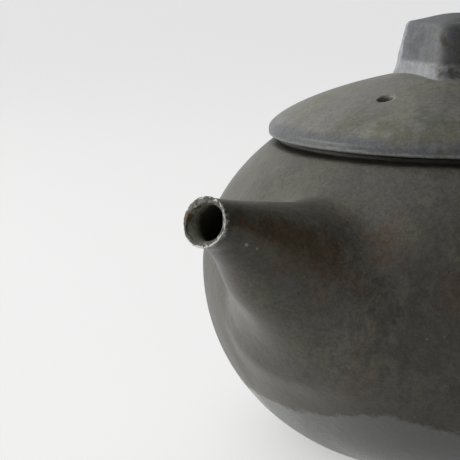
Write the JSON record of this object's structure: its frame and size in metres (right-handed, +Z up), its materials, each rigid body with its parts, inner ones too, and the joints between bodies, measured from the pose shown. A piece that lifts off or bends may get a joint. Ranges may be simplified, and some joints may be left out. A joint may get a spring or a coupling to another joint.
{
  "type": "teapot",
  "caption": "Side-handled teapot in dark unglazed stoneware, with a conical spout, a pierced strainer inside it and a shallow domed lid with a square knob.",
  "frame": {"origin": "centre of the flat base, on the pot's turning axis", "axes": "+Z up along the pot's turning axis; -X towards the spout's mouth; -Y along the side handle"},
  "size_m": [0.1461, 0.182, 0.098],
  "materials": {
    "stoneware": "unglazed, burnished satin",
    "lid_stoneware": "unglazed, burnished satin"
  },
  "bodies": {
    "pot": {"body_shell": "stoneware", "spout": "stoneware", "strainer": "stoneware", "handle": "stoneware"},
    "lid_ring": {"lid_ring": "lid_stoneware"},
    "lid": {"lid_dome": "lid_stoneware", "lid_knob": "lid_stoneware"}
  },
  "joints": [
    {"name": "lid_lift", "type": "slide", "parent": "pot", "child": "lid_ring", "axis": [0, 0, 1], "range_m": [0, 0.08]},
    {"name": "lid_turn", "type": "hinge", "parent": "lid_ring", "child": "lid", "pos_m": [0, 0, 0.0703], "axis": [0, 0, 1], "continuous": true}
  ]
}
